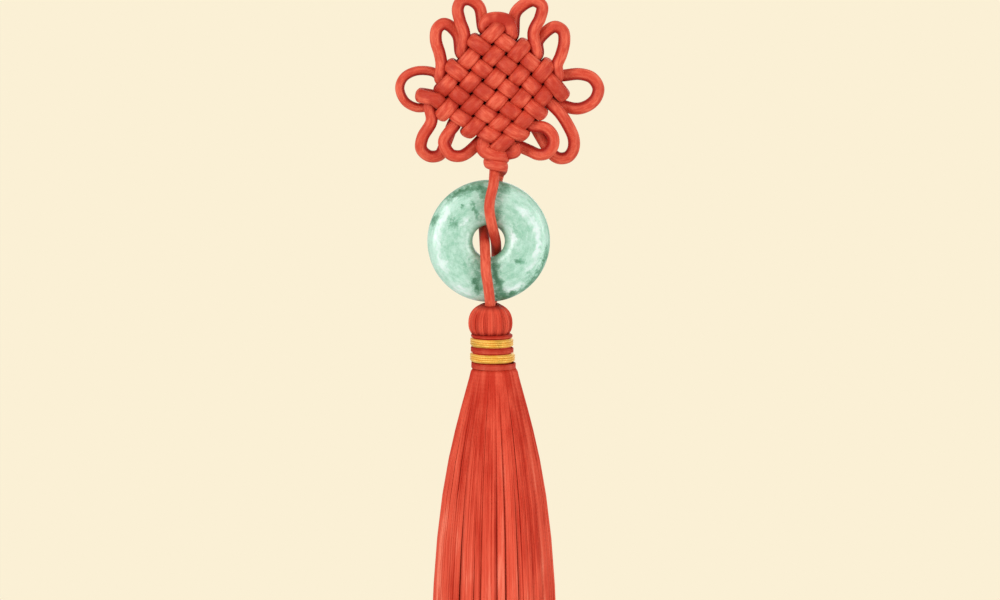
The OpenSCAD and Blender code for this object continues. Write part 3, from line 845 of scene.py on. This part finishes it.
# Head: two layers of threads over a pleated ball
head = {
    # Rows: drop from the top, half width, half depth, pleat depth
    "rows": [
        (2.4, 2.0, 3.3, 0.0), (1.2, 2.2, 4.2, 0.0), (0.25, 2.5, 5.2, 0.02), (0.0, 2.95, 5.6, 0.05),
        (0.15, 3.5, 5.85, 0.1), (0.8, 4.6, 6.1, 0.25), (1.7, 5.5, 6.3, 0.3), (2.8, 6.15, 6.42, 0.3),
        (4.3, 6.55, 6.55, 0.3), (5.8, 6.55, 6.55, 0.3), (7.1, 6.2, 6.2, 0.25), (8.25, 5.5, 5.5, 0.2),
    ],
    "layers": ((0.0, 0.36), (0.45, 0.5)),  # inset and thread radius
    "threads": 70, "sides": 5, "flatThread": 1.3, "pleats": 14, "pull": 0.35, "waver": 0.004,
    "thin": 0.62, "fullAt": 5.6,  # share of the radius at the middle, and the width where threads are full
    "pleatTone": (0.5, 1.3), "toneShare": 0.65, "threadTone": (0.3, 0.5),
    # Shade in a crease near the top and low down, at the mouth round the cords, and at the foot
    "creaseShade": (0.5, 0.9), "mouthShade": 0.7, "footShade": 0.7, "footFrom": 6.8,
}


def makeHead(material):
    rng = random.Random(11)
    body = Body()
    rows = curveThrough([Vector(row) for row in head["rows"]], 2)
    count, pleats = head["threads"], head["pleats"]
    pleatTones = [rng.uniform(*head["pleatTone"]) for k in range(pleats)]
    for layer, (inset, radius) in enumerate(head["layers"]):
        for i in range(count):
            angle = math.tau * (i + 0.5 * layer) / count
            tone = head["toneShare"] * pleatTones[round(angle / math.tau * pleats) % pleats]
            pull = head["pull"] / pleats * math.sin(angle * pleats)
            crest = 0.5 + 0.5 * math.cos(angle * pleats)
            stations = []
            for drop, wide, deep, pleat in rows:
                a = angle - pull + rng.uniform(-head["waver"], head["waver"])
                fold = pleat * 2.0 * crest**2 + inset + radius
                halfWide, halfDeep = max(wide - fold, 0.6), max(deep - fold, 0.8)
                x, y = tassel["headX"] + halfWide * math.cos(a), halfDeep * math.sin(a)
                out = Vector((math.cos(a), math.sin(a), 0.15))
                thick = radius * mix(head["thin"], 1.0, min(1.0, halfWide / head["fullAt"]))
                mouth = head["mouthShade"] * ease(1 - drop / 1.2)
                crease = mix(*head["creaseShade"], ease((drop - 4) / 3)) * ease(drop / 3) * crest**3
                foot = head["footShade"] * ease((drop - head["footFrom"]) / 1.5)
                shade = min(1.0, crease + foot + mouth)
                stations.append((Vector((x, y, tassel["headTop"] - drop)), out, thick, shade))
            tone += rng.uniform(*head["threadTone"])
            body.tube(threadRings(stations, head["flatThread"]), head["sides"], tone)
    body.piece("tassel_head", material)


# Binding: gold thread in two bands, red thread above, between and below them
binding = {
    "goldR": 0.325, "goldTurns": 3, "goldPitch": 0.624, "partGap": 0.1, "bandHigh": 2.72,
    "redR": 0.26, "redPitch": 0.5, "redShade": 0.3, "redTone": (0.1, 0.4), "coreR": 5.6, "coreTone": 0.4,
    "sides": 8, "stepsPerTurn": 64, "startAngle": math.radians(100),
    # Red zones from the top down: outer radius, and how far they lean to the right
    "red": [(6.05, 0.0), (6.25, 0.1), (6.5, 0.5)],
    "goldSleeve": (0.1, 2.4), "goldSides": 64, "coreSides": 48,  # under the thread, from and to
    "goldWorn": (206, 162, 52), "goldDeep": (240, 172, 52), "goldBright": (255, 208, 100),
    "twist": (2.0, 9.0), "bump": 0.4, "bumpHeight": 0.00006,
}
goldBands = {
    "gold_band_upper": {"top": -91.3, "swell": -0.38, "lean": 0.0},
    "gold_band_lower": {"top": -95.75, "swell": -0.11, "lean": 0.2},
}


def windingRings(centreX, radius, top, pitch, turns, threadR, shade):
    steps = round(turns * binding["stepsPerTurn"])
    stations = []
    for k in range(steps + 1):
        turn = turns * k / steps
        a = math.tau * turn + binding["startAngle"]
        z = top - threadR - pitch * turn
        centre = Vector((centreX + radius * math.cos(a), radius * math.sin(a), z))
        stations.append((centre, Vector((math.cos(a), math.sin(a), 0)), threadR, shade))
    return threadRings(stations)


def sleeveRings(centreX, radius, top, foot, shade):
    # A plain sleeve under the winding, so that nothing shows through it
    return [
        ring(Vector((centreX, 0, z)), Vector((radius, 0, 0)), Vector((0, radius, 0)), shade)
        for z in (top, foot)
    ]


def makeNeck(material):
    body = Body()
    x, threadR, shade = tassel["neckX"], binding["redR"], binding["redShade"]
    high, low = (band["top"] for band in goldBands.values())
    zones = [
        (tassel["neckTop"], high), (high - binding["bandHigh"], low),
        (low - binding["bandHigh"], tassel["neckBottom"]),
    ]
    rng = random.Random(5)
    for (top, foot), (outer, lean) in zip(zones, binding["red"]):
        room = top - foot - 2 * threadR
        turns = max(1, round(room / binding["redPitch"]) + 1)
        rings = windingRings(x + lean, outer - threadR, top, room / turns, turns, threadR, shade)
        body.tube(rings, binding["sides"], rng.uniform(*binding["redTone"]))
    core = sleeveRings(x, binding["coreR"], tassel["neckTop"], tassel["neckBottom"], shade)
    body.tube(core, binding["coreSides"], binding["coreTone"])
    body.piece("tassel_neck", material)


def goldPaint():
    paint = Paint("goldThread", Metallic=0.2, Specular_IOR_Level=0.5)
    around, up, along = paint.parts(paint.attribute("lay", "Vector"))
    streak = paint.noise(paint.joined(around, up, along * 0.25), 1.3, 3.0, 0.6)
    # Olive patches scattered at random over the gold
    olivePatch = paint.noise(paint.objectPlace(), 260.0, 2.0)
    gold = paint.blend(streak.between(0.35, 0.68), binding["goldDeep"], binding["goldBright"])
    paint.feed("Base Color", paint.blend(olivePatch.between(0.48, 0.66) * 0.6, gold, binding["goldWorn"]))
    paint.feed("Roughness", streak * 0.12 + olivePatch * 0.14 + 0.25)
    twistBump(paint, around, up, along, binding)
    return paint.material


def makeGold(material):
    for node, band in goldBands.items():
        body = Body()
        top = band["top"] - binding["partGap"]
        radius = tassel["neckR"] + band["swell"]
        x = tassel["neckX"] + band["lean"]
        pitch, turns = binding["goldPitch"], binding["goldTurns"]
        body.tube(windingRings(x, radius, top, pitch, turns, binding["goldR"], 0.0), binding["sides"])
        high, low = binding["goldSleeve"]
        body.tube(sleeveRings(x, radius, top - high, top - low, 0.0), binding["goldSides"])
        body.piece(node, material)


# Skirt: layers of threads from the outside in. Its locks part some way down, each at its own height
skirt = {
    "x": -1.1, "top": -100.56, "length": 107.0, "neckR": 6.75, "width": 38.0, "flat": 0.8,
    "openLength": 33.5, "openBend": 1.2, "openEnd": 0.97, "pleat": (0.0, 0.9), "inset": 0.1,
    "sides": 5, "flatThread": 1.25, "innerShade": 0.3, "creaseShade": 0.4,
    "tuck": 0.45, "rise": 0.2, "held": 0.8,  # in and up under the binding, and how far down that reaches
    "locks": 34, "lockWide": (0.6, 1.5), "lockTone": (0.1, 0.9), "lockShare": 0.6,
    "partFrom": (0.12, 0.6), "partWide": (-0.05, 0.07), "partOpens": 2.5, "partTurn": math.radians(9),
    "stray": (-0.25, 0.25), "drift": (-0.3, 0.3),  # sideways, at the top and further down
    "sink": (-0.1, 0.25), "uneven": (-0.07, 0.07),  # inward, and in depth in the inner layers
    "ragged": 0.5, "innerShort": 0.8,  # how the ends differ, and how much shorter the inner threads are
    "waver": 0.004, "waves": 9,
    # The partings that the front shows: angle, share of the length where it starts, how wide
    "partings": [
        (221, 0.3, 0.09), (235, 0.2, 0.14), (250.5, 0.27, 0.15), (262, 0.4, 0.08), (272, 0.2, 0.14),
        (282, 0.42, 0.08), (295, 0.13, 0.13), (311, 0.35, 0.12), (324, 0.4, 0.08),
    ],
    "drops": (0.0, 0.007, 0.025, 0.06, 0.11, 0.17, 0.25, 0.35, 0.47, 0.6, 0.74, 0.88, 1.0),
}
# Layers: share of the radius, number of threads, their radius at the top and at the end
skirtLayers = [
    (1.0, 156, 0.19, 0.46), (0.93, 132, 0.22, 0.52), (0.82, 90, 0.22, 0.68), (0.67, 76, 0.22, 0.72),
    (0.5, 60, 0.2, 0.74), (0.33, 42, 0.2, 0.74), (0.15, 22, 0.2, 0.7),
]


def skirtOpen(drop):
    return 1 - math.exp(-((drop / skirt["openLength"]) ** skirt["openBend"]))


def makeLocks(rng):
    # Where each lock starts round the skirt, how far down it parts from the next, how wide, and its tone
    shares = [rng.uniform(*skirt["lockWide"]) for k in range(skirt["locks"])]
    total = sum(shares)
    locks, angle = [], 0.0
    for share in shares:
        wide = math.tau * share / total
        locks.append({
            "start": angle, "wide": wide, "from": rng.uniform(*skirt["partFrom"]),
            "part": max(0.0, rng.uniform(*skirt["partWide"])), "tone": rng.uniform(*skirt["lockTone"]),
        })
        angle += wide
    for degrees, start, part in skirt["partings"]:
        angle = math.radians(degrees)
        nearest = min(locks, key=lambda lock: abs(lock["start"] - angle))
        nearest.update({"start": angle, "from": start, "part": part})
    locks.sort(key=lambda lock: lock["start"])
    for lock, after in zip(locks, [*locks[1:], {"start": math.tau}]):
        lock["wide"] = after["start"] - lock["start"]
    return locks


def parting(lock, f):
    # How far the threads beside a lock's start have drawn apart at this share of the length
    return lock["part"] * ease((f - lock["from"]) * skirt["partOpens"])


def makeSkirt(material):
    rng = random.Random(3)
    body = Body()
    spread = (skirt["width"] / 2 - skirt["neckR"]) / skirt["openEnd"]
    locks = makeLocks(rng)
    for layer, (share, count, thinR, thickR) in enumerate(skirtLayers):
        for i in range(count):
            along = i + 0.5 * (layer % 2) + rng.uniform(*skirt["stray"])
            angle = math.tau * along / count % math.tau
            here = [k for k, lock in enumerate(locks) if lock["start"] <= angle][-1]
            lock, after = locks[here], locks[(here + 1) % len(locks)]
            inLock = (angle - lock["start"]) / lock["wide"]
            length = skirt["length"] - abs(rng.gauss(0, skirt["ragged"]))
            length -= skirt["innerShort"] if layer else 0
            drift = rng.uniform(*skirt["drift"]) * math.tau / count
            sink = rng.uniform(*skirt["sink"])
            waver = rng.uniform(0, math.tau)
            tone = mix(rng.random(), lock["tone"], skirt["lockShare"])
            depth = share * (1 + (rng.uniform(*skirt["uneven"]) if layer > 1 else 0.0))
            edge = (2 * inLock - 1) ** 4  # 1 at a lock's two edges
            stations = []
            for f in skirt["drops"]:
                drop = f * length
                opened = skirtOpen(drop)
                held = 1 - ease(drop / skirt["held"])
                wide = (skirt["neckR"] + spread * opened - skirt["tuck"] * held) * depth
                deep = wide * mix(1, skirt["flat"], opened)
                apart = parting(lock, f) * (1 - inLock) ** 3 - parting(after, f) * inLock**3
                turned = 0.0 if layer else apart * skirt["partTurn"]
                a = angle + turned + drift * f + skirt["waver"] * math.sin(waver + f * skirt["waves"])
                fold = mix(*skirt["pleat"], f) * edge + skirt["inset"] * ease(f * 5) + sink * ease(f * 2)
                radius = mix(thinR, thickR, ease(f * 1.6) * 0.8 + f * 0.2)
                reach = fold + radius
                x, y = (wide - reach) * math.cos(a), (deep - reach) * math.sin(a)
                centre = Vector((skirt["x"] + x, y, skirt["top"] - drop + skirt["rise"] * held))
                if layer:
                    shade = skirt["innerShade"] * (1 - 0.7 * ease(f * 12 - 11))  # lighter at the end
                else:
                    shade = skirt["creaseShade"] * edge**2 * ease(f * 2.5 - 0.2)
                stations.append((centre, Vector((math.cos(a), math.sin(a), 0)), radius, shade))
            body.tube(threadRings(stations, skirt["flatThread"]), skirt["sides"], tone)
    body.piece("tassel_skirt", material)


# Stage: a wide cream bowl that only the camera sees, so that the light stays even
stage = {
    "radius": 3.0, "floor": -1.6, "top": 3.0, "corner": 0.8, "cornerSteps": 8, "around": 64,
    "colour": (251, 240, 213),
}


def makeStage():
    paint = Paint("stage")
    glow = paint.node("ShaderNodeEmission", None, {"Color": colour(*stage["colour"])})
    output = next(n for n in paint.tree.nodes if n.type == "OUTPUT_MATERIAL")
    paint.tree.links.new(glow.socket, output.inputs["Surface"])
    paint.tree.nodes.remove(paint.shader)
    bm = bmesh.new()
    wall, floor = stage["radius"], stage["floor"]
    corner, steps = stage["corner"], stage["cornerSteps"]
    profile = [(0, floor), (wall - corner, floor)]
    for k in range(1, steps + 1):
        a = math.radians(90 * k / steps)
        profile.append((wall - corner + corner * math.sin(a), floor + corner - corner * math.cos(a)))
    profile.append((wall, stage["top"]))
    verts = [bm.verts.new((x, 0, z)) for x, z in profile]
    edges = [bm.edges.new(pair) for pair in zip(verts, verts[1:])]
    bmesh.ops.spin(
        bm, geom=verts + edges, cent=(0, 0, 0), axis=(0, 0, 1), angle=math.tau,
        steps=stage["around"], use_merge=True,
    )
    bmesh.ops.remove_doubles(bm, verts=bm.verts, dist=0.0001)
    bmesh.ops.recalc_face_normals(bm, faces=bm.faces)
    bowl = bpy.data.objects.new("bowl", smoothMesh(bm, "bowl"))
    bowl.data.materials.append(paint.material)
    bowl.visible_diffuse = bowl.visible_glossy = bowl.visible_transmission = bowl.visible_shadow = False
    scene.collection.objects.link(bowl)


# Lights: place, size and watts; each looks at the middle of the ornament
lights = {
    "key": {"place": (-0.75, -0.75, 0.3), "size": (0.35, 1.1), "watts": 6.0},
    "fill": {"place": (0.85, -0.6, 0.0), "size": (0.35, 1.1), "watts": 4.0},
    "back": {"place": (0.3, 0.8, 0.35), "size": (0.6, 0.6), "watts": 1.2},
}
world = {"colour": (1.0, 0.985, 0.96, 1.0), "strength": 0.66}
aim = Vector((0, 0, -0.08))


def addLights():
    for name, row in lights.items():
        data = bpy.data.lights.new(name, "AREA")
        data.shape = "RECTANGLE"
        data.size, data.size_y = row["size"]
        data.energy = row["watts"]
        lamp = bpy.data.objects.new(name, data)
        lamp.location = Vector(row["place"]) + aim
        lamp.rotation_euler = (aim - lamp.location).to_track_quat("-Z", "Y").to_euler()
        scene.collection.objects.link(lamp)
    sky = bpy.data.worlds.new("soft light")
    sky.use_nodes = True
    glow = next(n for n in sky.node_tree.nodes if n.type == "BACKGROUND")
    glow.inputs["Color"].default_value = world["colour"]
    glow.inputs["Strength"].default_value = world["strength"]
    scene.world = sky
    scene.view_settings.view_transform = "Standard"
    scene.view_settings.look = "None"


addCamera()
cordRed = cordPaint()
makeWeave(cordRed)
print("weave made")
makeLoops(cordRed)
print("loops made")
makeEnds(cordRed)
print("bottom knot and hanging cords made")
makeJade(jadePaint())
print("jade ring made")
silk = silkPaint()
makeHead(silk)
makeNeck(silk)
makeGold(goldPaint())
print("head and binding made")
makeSkirt(silk)
print("skirt made")
makeStage()
addLights()
